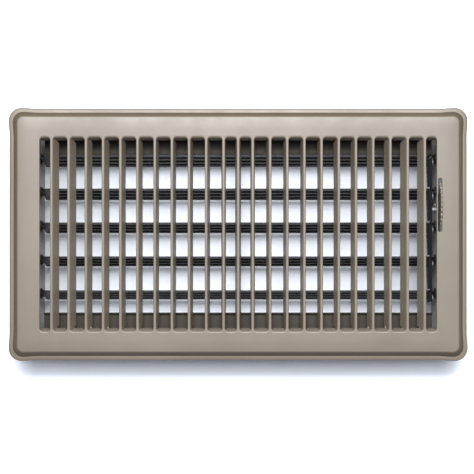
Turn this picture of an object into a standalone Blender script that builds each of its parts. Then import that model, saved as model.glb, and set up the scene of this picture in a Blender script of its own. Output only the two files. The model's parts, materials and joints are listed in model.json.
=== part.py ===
"""Floor register for a 6 x 12 inch duct: a pressed steel face grille over a shallow damper box
with five linked louvre blades and a thumb lever.

Metres, +Z up, +X along the long side. The register stands on the bottom edges of its two end
plates, at z = 0. The origin is the middle of that base.
"""

from math import cos, pi, radians, sin, tan

import bmesh
import bpy
from mathutils import Matrix, Vector

# Face grille: one steel pressing
SHEET = 0.0009
FACE_TOP = 0.0410
RIM_LENGTH = 0.340
RIM_WIDTH = 0.187
RIM_DROP = 0.0040  # from the face down to the ledge round its rim
LEDGE = 0.0029
RIM_SLOPE = 0.0042  # plan width of the curved step between ledge and face
RIM_CORNER = 0.0095
FACE_CORNER = 0.0037
CORNER_FLARE = 0.0007
FLARE_RUN = 0.010
CORNER_STEPS = 4

# Bars of the grille: inverted channels whose legs lean towards the middle, more so further out
BARS_EACH_SIDE = 11
BAR_PITCH = 0.0127
FIRST_BAR = 0.0108
BAR_WIDTH = 0.00345
MIDDLE_BAR_WIDTH = 0.00445
LEAN_DEGREES = (0, 0, 6, 6, 6, 6, 9.7, 9.7, 13.3, 13.3, 17.5, 17.5)
SLOT_FIELD_END = 0.1470
SLOT_HALF_LENGTH = 0.0721
SLOT_CORNER = 0.0023
SLOT_CORNER_STEPS = 2
LEG_DEPTH = 0.0080
LEG_RUN_OUT = 0.0650  # the legs are full depth between these places on Y
END_LIP_DEPTH = 0.0042
END_LIP_REACH = 0.0024
OUTER_LIP_DEPTH = 0.0016

# Damper box
WALL = 0.0008
GAP = 0.0003
END_INNER = 0.1486
END_HALF_WIDTH = 0.0737
END_TOP = FACE_TOP - SHEET - GAP
END_FLANGE = 0.0100
END_FLANGE_HALF = 0.0675
TAB_LENGTH = 0.0130
TAB_BOTTOM = 0.0225
SIDE_INNER = 0.0726
SIDE_HALF_LENGTH = 0.1458
SIDE_FLANGE = 0.0095
LIP_EDGE = 0.0605
REAR_LIP_TOP = 0.0216
FRONT_LIP_TOP = 0.0246
HEM = 0.0022

# Blades
BLADES = 5
BLADE_PITCH = 0.0254
FIRST_PIVOT_Y = 0.05715
PIVOT_Z = 0.0230
BLADE_SHEET = 0.0007
BLADE_ABOVE = 0.0070
BLADE_BELOW = 0.0210
BLADE_END = 0.1472
REST_TILT = radians(15.5)
RIB_PITCH = 0.0076
RIB_HALF = 0.0017
RIB_HEIGHT = 0.0009
EAR = 0.0008
EAR_FACE = 0.1424  # the ear with the crank stud stands across the sheet from here outwards
EAR_RADIUS = 0.0023
TIP_RADIUS = 0.0030  # round tip at the blade's left end
STUB_RADIUS = 0.0016
STUB_SHORT = 0.0001
STUB_TIP = END_INNER + WALL - STUB_SHORT
NOTCH_FLOOR = 0.0019  # the notch for the link reaches down to here, above the pivot
NOTCH_PLAY = 0.0004

# Linkage
CRANK = 0.0070
CRANK_LEAD = radians(42.5)
STUD_RADIUS = 0.0012
HOLE_PLAY = 0.0003
LINK_X = 0.1438
LINK_THICK = 0.0010
LINK_LOBE = 0.0029
LINK_WAIST = 0.0022
LOBE_FOOT = 0.0012
FLANGE_EDGE = 0.1412
FLANGE_UNDER = 0.0026  # height of the flange's underside over the crank holes
FLANGE_THICK = 0.0009
FLANGE_NOTCH = (0.0044, 0.0068)  # from each crank hole, where a blade's top edge comes up
CLIP_RADIUS = 0.0026
CLIP_THICK = 0.0007
BUSH_RADIUS = 0.0030
BUSH_FLANGE = 0.0040
BUSH_FLANGE_THICK = 0.0007

# Thumb lever, on the outside of the right end plate
LEVER_Y = 0.0217
LEVER_CLEAR = 0.0004
LEVER_X = END_INNER + WALL + LEVER_CLEAR
LEVER_THICK = 0.0010
LEVER_RADIUS = 0.0220
LEVER_HUB = 0.0055
LEVER_FROM = radians(-104)
LEVER_TO = radians(50)
TOOTH_DEPTH = 0.0008
TEETH = 15
LEVER_SLOT_HALF_LENGTH = 0.0200
LEVER_SLOT_WIDTH = 0.0031
LEVER_SLOT_X = 0.1496
FLANGE_CUT = 0.0010  # the end plate's flange stops this far from the lever's slot
RIVET_RADIUS = 0.0015
RIVET_HEAD = 0.0032
RIVET_DOME = 0.0010
RIVET_TAIL = 0.0029
RIVET_TAIL_THICK = 0.0008
WASHER_RADIUS = 0.0040
WASHER_THICK = 0.0003
COLLAR_RADIUS = 0.0020
PIN_HEAD = 0.0022
PIN_HEAD_THICK = 0.0008
WINDOW_HALF = 0.0026


def clear_scene():
    for thing in list(bpy.data.objects):
        bpy.data.objects.remove(thing, do_unlink=True)


def collection(name):
    made = bpy.data.collections.new(name)
    bpy.context.scene.collection.children.link(made)
    return made


def paint(name, colour, roughness, metallic=0.0):
    made = bpy.data.materials.new(name)
    made.use_nodes = True
    shader = made.node_tree.nodes["Principled BSDF"]
    shader.inputs["Base Color"].default_value = (*colour, 1)
    shader.inputs["Roughness"].default_value = roughness
    shader.inputs["Metallic"].default_value = metallic
    return made


clear_scene()
PARTS = collection("floor_register")
TOOLS = collection("joined_shapes")
TAUPE = paint("taupe_paint", (0.33, 0.28, 0.22), 0.38)
BLACK = paint("black_paint", (0.025, 0.022, 0.02), 0.42)
STEEL = paint("zinc_steel", (0.42, 0.42, 0.43), 0.45, 0.8)
NYLON = paint("black_nylon", (0.03, 0.03, 0.03), 0.55)


def finish(bm, name, material, thickness=None, target=PARTS):
    """The bmesh as an object; an open surface gets its thickness on the side its faces turn from."""
    mesh = bpy.data.meshes.new(name)
    bm.to_mesh(mesh)
    bm.free()
    mesh.materials.append(material)
    made = bpy.data.objects.new(name, mesh)
    target.objects.link(made)
    if thickness:
        shell = made.modifiers.new("thickness", "SOLIDIFY")
        shell.thickness = thickness
        shell.offset = -1
        shell.use_even_offset = True
    return made


def smooth(thing, angle=35):
    thing.data.shade_smooth()
    thing.data.set_sharp_from_angle(angle=radians(angle))


def baked(thing, name):
    """A mesh of the object with its modifiers applied; the object itself is removed."""
    bpy.context.view_layer.update()
    shape = thing.evaluated_get(bpy.context.evaluated_depsgraph_get())
    mesh = bpy.data.meshes.new_from_object(shape)
    mesh.name = name
    bpy.data.objects.remove(thing, do_unlink=True)
    return mesh


def ring(bm, points):
    """A closed loop of vertices and its edges."""
    verts = [bm.verts.new(point) for point in points]
    edges = [bm.edges.new((a, b)) for a, b in zip(verts, verts[1:] + verts[:1])]
    return verts, edges


def loft(bm, first, second):
    """Quads between two loops with the same number of points."""
    for i, vert in enumerate(first):
        j = (i + 1) % len(first)
        bm.faces.new((vert, first[j], second[j], second[i]))


def fill(bm, edges, normal):
    bmesh.ops.triangle_fill(bm, edges=edges, use_beauty=True, normal=normal)


def turn_faces(bm, wanted):
    """Makes the faces agree, with the first fill facing the wanted way."""
    bmesh.ops.recalc_face_normals(bm, faces=bm.faces)
    flat = max(bm.faces, key=lambda face: face.calc_area())
    flat.normal_update()
    if flat.normal.dot(Vector(wanted)) < 0:
        bmesh.ops.reverse_faces(bm, faces=bm.faces)


def arc(centre, radius, start, stop, steps):
    """Points of an arc in a plane; angles run from the first axis to the second."""
    angles = (start + (stop - start) * i / steps for i in range(steps + 1))
    return [(centre[0] + radius * cos(a), centre[1] + radius * sin(a)) for a in angles]


def circle(centre, radius, steps=16):
    return arc(centre, radius, 0, 2 * pi * (steps - 1) / steps, steps - 1)


def polar(centre, radius, angle):
    """A place at an angle from straight up, turning towards +Y, in the YZ plane."""
    return centre[0] + radius * sin(angle), centre[1] + radius * cos(angle)


def rim_loop(inset, corner, flare):
    """The rim's outline, moved in by inset, with corners that stand proud by flare."""
    x = RIM_LENGTH / 2 - inset
    y = RIM_WIDTH / 2 - inset
    points = []
    for i, (sx, sy) in enumerate(((1, 1), (-1, 1), (-1, -1), (1, -1))):
        centre = (sx * (x - corner + flare), sy * (y - corner + flare))
        turn = arc(centre, corner, i * pi / 2, (i + 1) * pi / 2, CORNER_STEPS)
        on_x_side = (sx * x, sy * (y - corner - FLARE_RUN))
        on_y_side = (sx * (x - corner - FLARE_RUN), sy * y)
        before, after = (on_x_side, on_y_side) if sx * sy > 0 else (on_y_side, on_x_side)
        points += [before, *turn, after]
    return points


def bar_places():
    """Each bar's middle on X, half its width, and how far its legs lean per metre of depth."""
    bars = [(0.0, MIDDLE_BAR_WIDTH / 2, 0.0)]
    for k in range(1, BARS_EACH_SIDE + 1):
        x = FIRST_BAR + (k - 1) * BAR_PITCH
        lean = tan(radians(LEAN_DEGREES[k]))
        bars.append((x, BAR_WIDTH / 2, -lean))
        bars.append((-x, BAR_WIDTH / 2, lean))
    return sorted(bars)


def slot_places():
    """Each slot as its left and right edge on X, each with its leg's lean and depth."""
    bars = bar_places()
    sides = [(-SLOT_FIELD_END, 0.0, OUTER_LIP_DEPTH)]
    for x, half, lean in bars:
        sides += [(x - half, lean, LEG_DEPTH), (x + half, lean, LEG_DEPTH)]
    sides.append((SLOT_FIELD_END, 0.0, OUTER_LIP_DEPTH))
    return list(zip(sides[0::2], sides[1::2]))


def slot_sleeve(left, right):
    """A slot's outline on the face, and the lower edge of the sleeve that hangs from it."""
    top = []
    low = []
    for (x, lean, depth), sx, signs in ((right, 1, (-1, 1)), (left, -1, (1, -1))):
        shallow = min(depth, END_LIP_DEPTH)
        for sy in signs:
            entering = sy == signs[0]
            start = {(1, -1): -pi / 2, (1, 1): 0, (-1, 1): pi / 2, (-1, -1): pi}[(sx, sy)]
            centre = (x - sx * SLOT_CORNER, sy * (SLOT_HALF_LENGTH - SLOT_CORNER))
            turn = arc(centre, SLOT_CORNER, start, start + pi / 2, SLOT_CORNER_STEPS)
            leg_end = (x, sy * LEG_RUN_OUT)
            turn_low = []
            for px, py in turn:
                share = (px - (x - sx * SLOT_CORNER)) / (sx * SLOT_CORNER)
                drop = END_LIP_DEPTH + (shallow - END_LIP_DEPTH) * share
                turn_low.append((px + lean * drop * share, py - sy * END_LIP_REACH, -drop))
            leg_low = (x + lean * depth, sy * LEG_RUN_OUT, -depth)
            if entering:
                top += [*turn, leg_end]
                low += [*turn_low, leg_low]
            else:
                top += [leg_end, *turn]
                low += [leg_low, *turn_low]
    return top, low


def face_grille():
    bm = bmesh.new()
    flat = FACE_TOP
    steps = 5
    loops = [(0, RIM_CORNER, CORNER_FLARE, -RIM_DROP)]
    for i in range(steps + 1):
        t = i / steps
        rise = t * t * (3 - 2 * t)
        corner = RIM_CORNER + (FACE_CORNER - RIM_CORNER) * (0.3 + 0.7 * t)
        loops.append((LEDGE + RIM_SLOPE * t, corner, CORNER_FLARE * (1 - t), RIM_DROP * (rise - 1)))
    before = None
    for inset, corner, flare, drop in loops:
        points = [(x, y, flat + drop) for x, y in rim_loop(inset, corner, flare)]
        verts, edges = ring(bm, points)
        if before:
            loft(bm, before, verts)
        before = verts
    outline = list(edges)
    for left, right in slot_places():
        top, low = slot_sleeve(left, right)
        verts, edges = ring(bm, [(x, y, flat) for x, y in top])
        hem, _ = ring(bm, [(x, y, flat + z) for x, y, z in low])
        loft(bm, verts, hem)
        outline += edges
    half = LEVER_SLOT_WIDTH / 2
    x = LEVER_SLOT_X
    end = LEVER_SLOT_HALF_LENGTH - half
    slot = arc((x, LEVER_Y + end), half, 0, pi, 6) + arc((x, LEVER_Y - end), half, pi, 2 * pi, 6)
    outline += ring(bm, [(px, py, flat) for px, py in slot])[1]
    fill(bm, outline, (0, 0, 1))
    turn_faces(bm, (0, 0, 1))
    smooth(finish(bm, "face_grille", TAUPE, SHEET), 25)


def side_wall(name, side, lip_top, hem_down):
    """A long wall: flange under the face, wall, inward lip, and a short hem along the lip's edge."""
    inner = SIDE_INNER
    hem = -HEM if hem_down else HEM
    section = (
        (inner + SIDE_FLANGE, END_TOP),
        (inner, END_TOP),
        (inner, lip_top),
        (LIP_EDGE, lip_top),
        (LIP_EDGE - abs(hem) / 2, lip_top + hem),
    )
    bm = bmesh.new()
    ends = [
        [bm.verts.new((x, side * y, z)) for y, z in section]
        for x in (-SIDE_HALF_LENGTH, SIDE_HALF_LENGTH)
    ]
    for i in range(len(section) - 1):
        bm.faces.new((ends[0][i], ends[0][i + 1], ends[1][i + 1], ends[1][i]))
    turn_faces(bm, (0, -side, 0))
    finish(bm, name, TAUPE, WALL)


def end_plate(name, side, flange_runs, extra_holes):
    """An end of the box: plate, outward flange under the face, and a tab back along each wall."""
    bm = bmesh.new()
    y = END_HALF_WIDTH
    tab_top = END_TOP - WALL - GAP
    x = side * END_INNER
    low = [(-y, 0), (y, 0), (y, TAB_BOTTOM), (y, tab_top)]
    high = [(place, END_TOP) for run in reversed(flange_runs) for place in reversed(run)]
    outline = low + high + [(-y, tab_top), (-y, TAB_BOTTOM)]
    verts, edges = ring(bm, [(x, py, pz) for py, pz in outline])
    holes = [circle((pivot, PIVOT_Z), BUSH_RADIUS + GAP) for pivot in pivot_places()]
    for hole in holes + extra_holes:
        edges += ring(bm, [(x, py, pz) for py, pz in hole])[1]
    fill(bm, edges, (side, 0, 0))
    for i in range(len(flange_runs)):
        pair = verts[len(low) + 2 * i : len(low) + 2 * i + 2]
        out = [bm.verts.new(vert.co + Vector((side * END_FLANGE, 0, 0))) for vert in pair]
        bm.faces.new((pair[0], pair[1], out[1], out[0]))
    for pair in ((verts[2], verts[3]), (verts[-1], verts[-2])):
        out = [bm.verts.new(vert.co - Vector((side * TAB_LENGTH, 0, 0))) for vert in pair]
        bm.faces.new((pair[0], pair[1], out[1], out[0]))
    turn_faces(bm, (-side, 0, 0))
    finish(bm, name, TAUPE, WALL)


def pivot_places():
    return [FIRST_PIVOT_Y - i * BLADE_PITCH for i in range(BLADES)]


def flat_plate(name, loops, x, thickness, material, target=PARTS, origin=(0, 0)):
    """A plate in the YZ plane from x outwards; the first loop is its outline, the rest holes."""
    bm = bmesh.new()
    edges = []
    for loop in loops:
        edges += ring(bm, [(x, py - origin[0], pz - origin[1]) for py, pz in loop])[1]
    fill(bm, edges, (-1, 0, 0))
    turn_faces(bm, (-1, 0, 0))
    made = finish(bm, name, material, thickness, target)
    made.location = (0, *origin)
    return made


def turned(name, section, place, material, closed=False, target=PARTS, steps=16):
    """A round piece on an X axis; section is (radius, x) down its outer side, from high x to low."""
    bm = bmesh.new()
    verts = [bm.verts.new((radius, 0, x)) for radius, x in section]
    pairs = zip(verts, verts[1:] + verts[:1]) if closed else zip(verts, verts[1:])
    for pair in pairs:
        bm.edges.new(pair)
    made = finish(bm, name, material, target=target)
    screw = made.modifiers.new("turned", "SCREW")
    screw.steps = steps
    screw.render_steps = steps
    screw.use_merge_vertices = True
    screw.merge_threshold = 0.00001
    screw.use_smooth_shade = True
    made.matrix_world = Matrix.Translation((0, *place)) @ Matrix.Rotation(pi / 2, 4, "Y")
    return made


def pin_section(*lengths):
    """Section of a solid pin from (radius, from x, to x) steps given from high x to low."""
    section = [(0, lengths[0][1])]
    for radius, high, low in lengths:
        section += [(radius, high), (radius, low)]
    return section + [(0, lengths[-1][2])]


def ring_section(inner, outer, high, low):
    return [(inner, high), (outer, high), (outer, low), (inner, low)]


def blade_section():
    """The blade's line across its chord, as (offset, height), with three pressed ribs."""
    middle = (BLADE_ABOVE - BLADE_BELOW) / 2
    points = [(0, BLADE_ABOVE)]
    for k in (1, 0, -1):
        z = middle + k * RIB_PITCH
        points += [
            (0, z + RIB_HALF),
            (-RIB_HEIGHT * 0.75, z + RIB_HALF * 0.5),
            (-RIB_HEIGHT, z),
            (-RIB_HEIGHT * 0.75, z - RIB_HALF * 0.5),
            (0, z - RIB_HALF),
        ]
    return points + [(0, -BLADE_BELOW)]


def capsule(a, b, radius, steps=8):
    """The outline round two circles of one radius, in the plane."""
    across = Vector(b) - Vector(a)
    start = Vector((1, 0)).angle_signed(across, 0) if across.length else 0
    turn = -start
    return arc(b, radius, turn - pi / 2, turn + pi / 2, steps) + arc(
        a, radius, turn + pi / 2, turn + 3 * pi / 2, steps
    )


def combined(thing, name, cuts, joins):
    """A mesh of the thing less its cuts and with its joins; the tools are removed."""
    steps = [(tool, "DIFFERENCE") for tool in cuts] + [(tool, "UNION") for tool in joins]
    for tool, operation in steps:
        tool.hide_render = True
        tool.display_type = "WIRE"
        step = thing.modifiers.new(tool.name, "BOOLEAN")
        step.operation = operation
        step.object = tool
    mesh = baked(thing, name)
    for tool, _ in steps:
        bpy.data.objects.remove(tool, do_unlink=True)
    return mesh


def link_notch():
    """The block cut from the top of a blade where the link passes through it."""
    width = LINK_THICK + 2 * NOTCH_PLAY
    height = BLADE_ABOVE
    deep = 4 * (BLADE_SHEET + RIB_HEIGHT)
    place = Matrix.Translation((LINK_X + LINK_THICK / 2, 0, NOTCH_FLOOR + height / 2))
    bm = bmesh.new()
    bmesh.ops.create_cube(bm, size=1, matrix=place @ Matrix.Diagonal((width, deep, height, 1)))
    return finish(bm, "link_notch", BLACK, target=TOOLS)


def blade_mesh():
    """One blade, its pivot axis on local X: sheet, crank ear, round tip, pivot stubs and stud."""
    bm = bmesh.new()
    left = EAR / 2 - BLADE_END
    ends = [[bm.verts.new((x, y, z)) for y, z in blade_section()] for x in (left, BLADE_END)]
    for i in range(len(ends[0]) - 1):
        bm.faces.new((ends[0][i], ends[0][i + 1], ends[1][i + 1], ends[1][i]))
    turn_faces(bm, (0, -1, 0))
    blade = finish(bm, "blade", BLACK, BLADE_SHEET)
    crank = polar((0, 0), CRANK, -CRANK_LEAD)
    ear = capsule((0, 0), crank, EAR_RADIUS)
    tip = circle((0, 0), TIP_RADIUS)
    from_ear = EAR_FACE + EAR / 2
    stud_end = LINK_X + LINK_THICK + GAP + CLIP_THICK + GAP
    joins = [
        flat_plate("ear", [ear], EAR_FACE, EAR, BLACK, TOOLS),
        flat_plate("tip", [tip], -BLADE_END, EAR, BLACK, TOOLS),
        turned("stub_right", pin_section((STUB_RADIUS, STUB_TIP, from_ear)), (0, 0), BLACK, target=TOOLS),
        turned("stub_left", pin_section((STUB_RADIUS, left, -STUB_TIP)), (0, 0), BLACK, target=TOOLS),
        turned("stud", pin_section((STUD_RADIUS, stud_end, from_ear)), crank, BLACK, target=TOOLS),
    ]
    return combined(blade, "blade", [link_notch()], joins)


def blades():
    mesh = blade_mesh()
    for i, y in enumerate(pivot_places()):
        blade = bpy.data.objects.new(f"blade_{i + 1}", mesh)
        PARTS.objects.link(blade)
        blade.location = (0, y, PIVOT_Z)
        blade.rotation_euler.x = -REST_TILT
    smooth(blade, 30)


def bushes():
    """A flanged bush in each pivot hole; the flange is on the inside."""
    face = END_INNER - GAP
    for word, side in (("left", -1), ("right", 1)):
        bore = STUB_RADIUS + HOLE_PLAY
        stops = [
            (BUSH_RADIUS, STUB_TIP),
            (BUSH_RADIUS, face),
            (BUSH_FLANGE, face),
            (BUSH_FLANGE, face - BUSH_FLANGE_THICK),
            (bore, face - BUSH_FLANGE_THICK),
            (bore, STUB_TIP),
        ]
        if side < 0:
            stops = [(radius, -x) for radius, x in reversed(stops)]
        for i, y in enumerate(pivot_places()):
            turned(f"pivot_bush_{word}_{i + 1}", stops, (y, PIVOT_Z), NYLON, closed=True)


def crank_places():
    """Where the link meets each blade at rest."""
    return [polar((y, PIVOT_Z), CRANK, REST_TILT - CRANK_LEAD) for y in pivot_places()]


def link_flange(cranks, middle):
    """The link's top flange, notched on its inner edge where a blade's top edge stands."""
    right = LINK_X + LINK_THICK
    high = cranks[0][0] + LINK_LOBE
    low = cranks[-1][0] - LINK_LOBE
    outline = [(right, low), (right, high), (FLANGE_EDGE, high)]
    for y, _ in cranks[1:]:
        near, far = (y + step for step in FLANGE_NOTCH)
        outline += [(FLANGE_EDGE, far), (LINK_X, far), (LINK_X, near), (FLANGE_EDGE, near)]
    outline.append((FLANGE_EDGE, low))
    bm = bmesh.new()
    top = FLANGE_UNDER + FLANGE_THICK
    edges = ring(bm, [(x, y - middle[0], top) for x, y in outline])[1]
    fill(bm, edges, (0, 0, 1))
    turn_faces(bm, (0, 0, 1))
    made = finish(bm, "link_flange", BLACK, FLANGE_THICK, TOOLS)
    made.location = (0, *middle)
    return made


def link_bar():
    """An angle along the blades: a web with a lobe at each crank hole, and a flange on top."""
    cranks = crank_places()
    drive = polar((LEVER_Y, PIVOT_Z), CRANK, REST_TILT - CRANK_LEAD)
    z = drive[1]
    places = sorted([y for y, _ in cranks] + [drive[0]])
    first, last = places[0], places[-1]
    run = LINK_LOBE + LOBE_FOOT
    outline = arc((first, z), LINK_LOBE, pi, 5 * pi / 3, 8)
    for y, following in zip(places, places[1:]):
        outline += [(y + run, z - LINK_WAIST), (following - run, z - LINK_WAIST)]
        stop = 0 if following == last else -pi / 3
        outline += arc((following, z), LINK_LOBE, -2 * pi / 3, stop, 8 if following == last else 4)
    top = z + FLANGE_UNDER + FLANGE_THICK / 2
    outline += [(last + LINK_LOBE, top), (first - LINK_LOBE, top)]
    holes = [circle((y, z), STUD_RADIUS + HOLE_PLAY, 14) for y in places]
    leader = cranks[BLADES // 2]
    web = flat_plate("link_web", [outline, *holes], LINK_X, LINK_THICK, BLACK, origin=leader)
    mesh = combined(web, "link_bar", [], [link_flange(cranks, leader)])
    made = bpy.data.objects.new("link_bar", mesh)
    PARTS.objects.link(made)
    made.location = (0, *leader)


def link_clips():
    start = LINK_X + LINK_THICK + GAP
    section = ring_section(STUD_RADIUS + HOLE_PLAY, CLIP_RADIUS, start + CLIP_THICK, start)
    for i, place in enumerate(crank_places()):
        turned(f"link_clip_{i + 1}", section, place, STEEL, closed=True, steps=14)


def lever():
    """A toothed quadrant, with the drive pin's hole on the crank circle."""
    centre = (LEVER_Y, PIVOT_Z)
    teeth = []
    for i in range(TEETH * 4 + 1):
        angle = LEVER_FROM + (LEVER_TO - LEVER_FROM) * i / (TEETH * 4)
        dip = TOOTH_DEPTH * (0, 0.5, 1, 0.5)[i % 4]
        teeth.append(polar(centre, LEVER_RADIUS - dip, angle))
    across = LEVER_TO - LEVER_FROM
    hub_angles = (LEVER_TO + (2 * pi - across) * i / 10 for i in range(11))
    hub = [polar(centre, LEVER_HUB, angle) for angle in hub_angles]
    drive = polar(centre, CRANK, REST_TILT - CRANK_LEAD)
    holes = [
        circle(centre, RIVET_RADIUS + HOLE_PLAY),
        circle(drive, STUD_RADIUS + HOLE_PLAY, 14),
    ]
    flat_plate("thumb_lever", [teeth + hub, *holes], LEVER_X, LEVER_THICK, TAUPE, origin=centre)


def lever_fixings():
    centre = (LEVER_Y, PIVOT_Z)
    washer = LEVER_X + LEVER_THICK + GAP
    head = washer + WASHER_THICK + GAP
    inner = END_INNER - GAP
    turned(
        "lever_rivet",
        [
            (0, head + RIVET_DOME),
            (RIVET_HEAD * 0.55, head + RIVET_DOME * 0.9),
            (RIVET_HEAD, head + RIVET_DOME * 0.4),
            (RIVET_HEAD, head),
            (RIVET_RADIUS, head),
            (RIVET_RADIUS, inner),
            (RIVET_TAIL, inner),
            (RIVET_TAIL, inner - RIVET_TAIL_THICK),
            (0, inner - RIVET_TAIL_THICK),
        ],
        centre,
        STEEL,
    )
    section = ring_section(RIVET_RADIUS + HOLE_PLAY, WASHER_RADIUS, washer + WASHER_THICK, washer)
    turned("lever_washer", section, centre, STEEL, closed=True)
    drive = polar(centre, CRANK, REST_TILT - CRANK_LEAD)
    link_face = LINK_X + LINK_THICK + GAP
    turned(
        "drive_pin",
        pin_section(
            (PIN_HEAD, washer + PIN_HEAD_THICK, washer),
            (STUD_RADIUS, washer, LEVER_X - GAP),
            (COLLAR_RADIUS, LEVER_X - GAP, link_face),
            (STUD_RADIUS, link_face, LINK_X - GAP),
        ),
        drive,
        STEEL,
    )


def lever_window():
    """The arc window that the drive pin's collar sweeps in the right end plate."""
    centre = (LEVER_Y, PIVOT_Z)
    reach = CRANK_LEAD
    outer = [polar(centre, CRANK + WINDOW_HALF, -reach + 2 * reach * i / 8) for i in range(9)]
    inner = [polar(centre, CRANK - WINDOW_HALF, reach - 2 * reach * i / 8) for i in range(9)]
    far = arc(polar(centre, CRANK, reach), WINDOW_HALF, pi / 2 - reach, -pi / 2 - reach, 6)[1:-1]
    near = arc(polar(centre, CRANK, -reach), WINDOW_HALF, reach - pi / 2, reach - 3 * pi / 2, 6)[1:-1]
    return outer + far + inner + near


face_grille()
side_wall("side_wall_rear", 1, REAR_LIP_TOP, True)
side_wall("side_wall_front", -1, FRONT_LIP_TOP, False)
end_plate("end_plate_left", -1, [(-END_FLANGE_HALF, END_FLANGE_HALF)], [])
end_plate(
    "end_plate_right",
    1,
    [
        (-END_FLANGE_HALF, LEVER_Y - LEVER_SLOT_HALF_LENGTH - FLANGE_CUT),
        (LEVER_Y + LEVER_SLOT_HALF_LENGTH + FLANGE_CUT, END_FLANGE_HALF),
    ],
    [circle((LEVER_Y, PIVOT_Z), RIVET_RADIUS + HOLE_PLAY), lever_window()],
)
blades()
bushes()
link_bar()
link_clips()
lever()
lever_fixings()
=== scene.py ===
"""Looks for the louvred floor register: fine surfaces, finishes, floor, light and camera.

Metres, in the CAD model's frame: +X along the register, +Z up, the base at z = 0. Joint places
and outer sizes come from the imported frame. Each new piece rides on the body of the solid that it
stands for.
"""

import json
from math import atan2, cos, pi, radians, sin, sqrt, tan

import bmesh
import bpy
from mathutils import Matrix, Vector


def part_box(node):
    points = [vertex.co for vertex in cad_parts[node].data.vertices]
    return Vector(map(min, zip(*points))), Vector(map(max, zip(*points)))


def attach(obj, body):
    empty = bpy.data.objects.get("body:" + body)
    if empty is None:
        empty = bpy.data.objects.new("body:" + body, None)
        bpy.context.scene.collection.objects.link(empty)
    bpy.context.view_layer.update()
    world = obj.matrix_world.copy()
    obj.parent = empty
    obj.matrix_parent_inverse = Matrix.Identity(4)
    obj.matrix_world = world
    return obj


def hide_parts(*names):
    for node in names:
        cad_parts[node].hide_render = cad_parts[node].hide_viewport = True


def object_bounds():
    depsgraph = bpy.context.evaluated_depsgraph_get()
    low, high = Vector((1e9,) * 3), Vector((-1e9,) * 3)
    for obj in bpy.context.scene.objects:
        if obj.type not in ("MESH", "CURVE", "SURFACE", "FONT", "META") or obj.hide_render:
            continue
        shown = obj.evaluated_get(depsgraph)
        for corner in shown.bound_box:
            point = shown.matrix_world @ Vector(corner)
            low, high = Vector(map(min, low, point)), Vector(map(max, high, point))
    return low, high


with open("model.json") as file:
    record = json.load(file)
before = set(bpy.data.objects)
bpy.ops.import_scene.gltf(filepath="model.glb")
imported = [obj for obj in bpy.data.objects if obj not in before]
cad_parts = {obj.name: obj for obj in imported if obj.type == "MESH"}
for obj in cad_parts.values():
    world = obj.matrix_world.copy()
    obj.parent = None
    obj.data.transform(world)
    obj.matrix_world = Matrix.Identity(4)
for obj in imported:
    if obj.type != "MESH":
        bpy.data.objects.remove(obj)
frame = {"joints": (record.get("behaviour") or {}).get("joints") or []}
CAD_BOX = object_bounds()
JOINTS = {joint["name"]: joint for joint in frame["joints"]}

# Small steps between a solid's box and the shape in it
CORNER_FLARE = 0.0007  # the rim's corners swell past its straight sides
BUSH_SET_BACK = 0.0001
LINK_THICK = 0.0010

# Places that the frame gives
FACE_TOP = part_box("face_grille")[1].z
RIM_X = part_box("face_grille")[1].x - CORNER_FLARE
RIM_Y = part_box("face_grille")[1].y - CORNER_FLARE
PIVOTS = [JOINTS[f"blade_{i}_pivot"]["pos_m"][1:] for i in range(1, 6)]
LEVER_PIVOT = JOINTS["lever_pivot"]["pos_m"][1:]
LEAD_CRANK = JOINTS["link_pivot"]["pos_m"][1:]
CRANK_STEP = Vector(LEAD_CRANK) - Vector(PIVOTS[2])
END_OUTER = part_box("pivot_bush_right_1")[1].x + BUSH_SET_BACK
LINK_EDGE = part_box("link_bar")[0].x
LINK_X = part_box("link_bar")[1].x - LINK_THICK
LEVER_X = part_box("thumb_lever")[0].x

# Face pressing
SHEET = 0.0009
RIM_DROP = 0.0040
LEDGE = 0.0029
RIM_SLOPE = 0.0042
LEDGE_FALL = 0.0003
EDGE_ROLL = 0.0004
FOOT_FILLET = 0.0006
STEP_ROUND = 0.0018
DOME = 0.0004
DOME_RUN = 0.0093
RIM_CORNER = 0.0095
FACE_CORNER = 0.0037
CORNER_JUMP = 0.3  # share of the corners' tightening that comes at the step's foot
FLARE_RUN = 0.0110
STEP_SHADE_FROM = 0.125  # shares of the step's width between which the painted shade on it is darkest
STEP_SHADE_TO = 0.55
STEP_SHADE_KEEPS = (0.50, 0.45, 0.34)  # painted shade on the step: what is left there of the paint's red, green and blue

# Grille bars and slots
BAR_PITCH = 0.0127
FIRST_BAR = 0.0108
BAR_WIDTH = 0.00345
MIDDLE_BAR_WIDTH = 0.00445
LEAN_DEGREES = (0, 0, 6, 6, 6, 6, 9.7, 9.7, 13.3, 13.3, 17.5, 17.5)
SLOT_FIELD_END = 0.1470
SLOT_HALF_LENGTH = 0.0716
SLOT_CORNER = 0.0023
CROWN = 0.0007  # radius that the pressing turns through at a bar's edge
CROWN_HALF = 0.00105
OUTER_ROLL = 0.0007
END_ROLL = 0.0015
LEG_DEPTH = 0.0080
LEG_RUN_OUT = 0.0682
END_LIP_DEPTH = 0.0056
END_LIP_REACH = 0.0019
OUTER_LIP_DEPTH = 0.0016
LEVER_SLOT_HALF_LENGTH = 0.0200
LEVER_SLOT_WIDTH = 0.0031
LEVER_SLOT_X = 0.1496
SLOT_ROLL = 0.0003

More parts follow.
